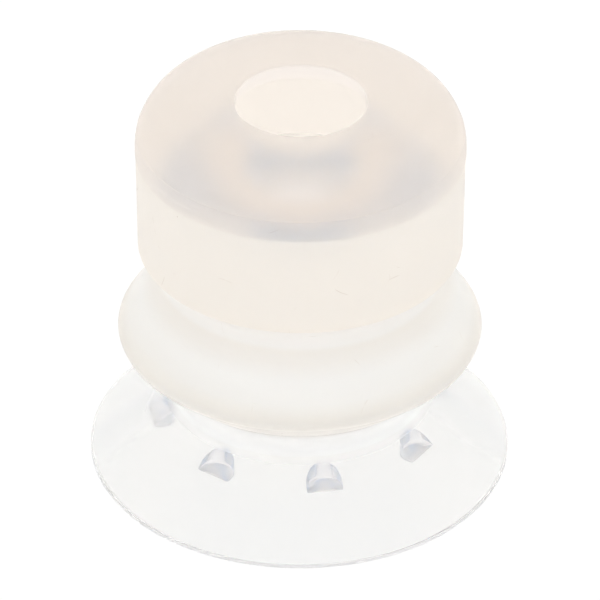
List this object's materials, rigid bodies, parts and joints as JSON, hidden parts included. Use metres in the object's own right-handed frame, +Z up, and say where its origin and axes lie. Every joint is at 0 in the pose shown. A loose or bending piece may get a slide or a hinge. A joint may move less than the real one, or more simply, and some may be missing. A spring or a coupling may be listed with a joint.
{
  "type": "bellows suction cup",
  "caption": "Translucent silicone bellows suction cup: thick push-on collar with a central bore, springy bellows fold and thin conical sealing lip with cleats underneath.",
  "frame": {"origin": "centre of the sealing plane, under the lip", "axes": "+Z up the cup's axis, out of the bore that the fitting goes into; -Y is the side that faces the camera in the picture"},
  "size_m": [0.02, 0.02, 0.0195],
  "materials": {
    "silicone_thick": "translucent, moulded satin",
    "silicone_wall": "translucent, moulded satin",
    "silicone_lip": "translucent, thin and glossy"
  },
  "bodies": {
    "collar": {"mounting_collar": "silicone_thick", "upper_bellows_wall": "silicone_wall"},
    "crest": {"bellows_crest": "silicone_wall", "lower_bellows_wall": "silicone_wall"},
    "waist": {"waist_ring": "silicone_wall"},
    "lip": {"lip_skirt": "silicone_lip", "grip_cleats": "silicone_lip"},
    "rim": {"sealing_edge": "silicone_lip"}
  },
  "joints": [
    {"name": "bellows_stroke", "type": "slide", "parent": "collar", "child": "crest", "axis": [0, 0, 1], "range_m": [0, 0.0022], "stiffness_N_per_m": 600, "deforming": ["upper_bellows_wall"]},
    {"name": "lower_fold", "type": "slide", "parent": "crest", "child": "waist", "axis": [0, 0, 1], "range_m": [0, 0.0012], "stiffness_N_per_m": 600, "deforming": ["lower_bellows_wall"]},
    {"name": "lip_tilt", "type": "hinge", "parent": "waist", "child": "lip", "pos_m": [0, 0, 0.00425], "axis": [1, 0, 0], "range_deg": [-6, 6], "stiffness_Nm_per_rad": 0.02, "deforming": ["waist_ring"]},
    {"name": "lip_flatten", "type": "slide", "parent": "lip", "child": "rim", "axis": [0, 0, 1], "range_m": [0, 0.0008], "stiffness_N_per_m": 400, "deforming": ["lip_skirt"]}
  ],
  "couplings": [
    {"joint": "lower_fold", "follows": "bellows_stroke", "ratio": 0.54545}
  ]
}
